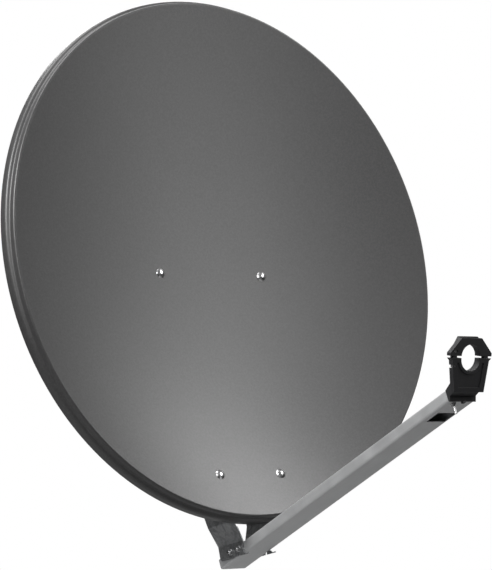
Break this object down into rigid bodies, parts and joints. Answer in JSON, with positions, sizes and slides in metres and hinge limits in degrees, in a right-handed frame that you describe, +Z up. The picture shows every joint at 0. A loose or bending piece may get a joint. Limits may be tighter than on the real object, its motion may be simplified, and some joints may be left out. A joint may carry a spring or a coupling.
{
  "type": "satellite dish",
  "caption": "Offset satellite dish with a rolled-rim reflector, galvanised rear frame, tilting mast clamp, folding feed arm and a clamp for an LNB neck.",
  "frame": {"origin": "on the axis of the vertical mast that the U-bolts hold, halfway between the two U-bolts", "axes": "+Z up along the mast, the reflector faces -Y, +X to the right as seen from in front of the reflector"},
  "size_m": [0.946, 0.9662, 1.072],
  "materials": {
    "reflector_paint": "satin powder coat, dark grey",
    "galvanised": "dull hot-dip galvanised",
    "arm_zinc": "satin galvanised",
    "fastener_zinc": "bright zinc plated",
    "saddle_cast": "as cast",
    "black_plastic": "fine moulded grain, black"
  },
  "bodies": {
    "mast_mount": {"mast_bracket": "galvanised", "mast_saddle": "saddle_cast", "u_bolt_washers": "fastener_zinc", "u_bolt_nuts": "fastener_zinc", "tilt_pivot_bolts": "fastener_zinc", "tilt_lock_bolts": "fastener_zinc", "tilt_washers": "fastener_zinc", "tilt_nuts": "fastener_zinc"},
    "upper_u_bolt": {"u_bolt_upper": "fastener_zinc"},
    "lower_u_bolt": {"u_bolt_lower": "fastener_zinc"},
    "dish": {"reflector": "reflector_paint", "rear_frame": "galvanised", "tilt_yoke": "galvanised", "reflector_bolts": "fastener_zinc", "reflector_washers": "fastener_zinc", "reflector_nuts": "fastener_zinc", "yoke_bolts": "fastener_zinc", "yoke_washers": "fastener_zinc", "yoke_nuts": "fastener_zinc", "arm_pivot_bolt": "fastener_zinc", "arm_pivot_washer": "fastener_zinc", "arm_pivot_nut": "fastener_zinc"},
    "arm": {"feed_arm": "arm_zinc", "arm_lock_bolt": "fastener_zinc", "arm_lock_washer": "fastener_zinc", "arm_lock_nut": "fastener_zinc", "lnb_holder": "black_plastic", "holder_bolt_m5": "fastener_zinc", "holder_washers": "fastener_zinc", "holder_nut": "fastener_zinc", "clamp_screws": "fastener_zinc"},
    "lnb_cap": {"lnb_clamp_cap": "black_plastic", "clamp_nuts": "fastener_zinc"}
  },
  "joints": [
    {"name": "elevation", "type": "hinge", "parent": "mast_mount", "child": "dish", "pos_m": [0, -0.08, -0.045], "axis": [-1, 0, 0], "range_deg": [-17, 23]},
    {"name": "arm_fold", "type": "hinge", "parent": "dish", "child": "arm", "pos_m": [0, -0.2837, -0.31156], "axis": [1, 0, 0], "range_deg": [0, 90]},
    {"name": "cap_lift", "type": "slide", "parent": "arm", "child": "lnb_cap", "axis": [0, -0.1063, 0.9943], "range_m": [0, 0.02]},
    {"name": "upper_u_bolt_slide", "type": "slide", "parent": "mast_mount", "child": "upper_u_bolt", "axis": [0, 1, 0], "range_m": [0, 0.012]},
    {"name": "lower_u_bolt_slide", "type": "slide", "parent": "mast_mount", "child": "lower_u_bolt", "axis": [0, 1, 0], "range_m": [0, 0.012]}
  ]
}
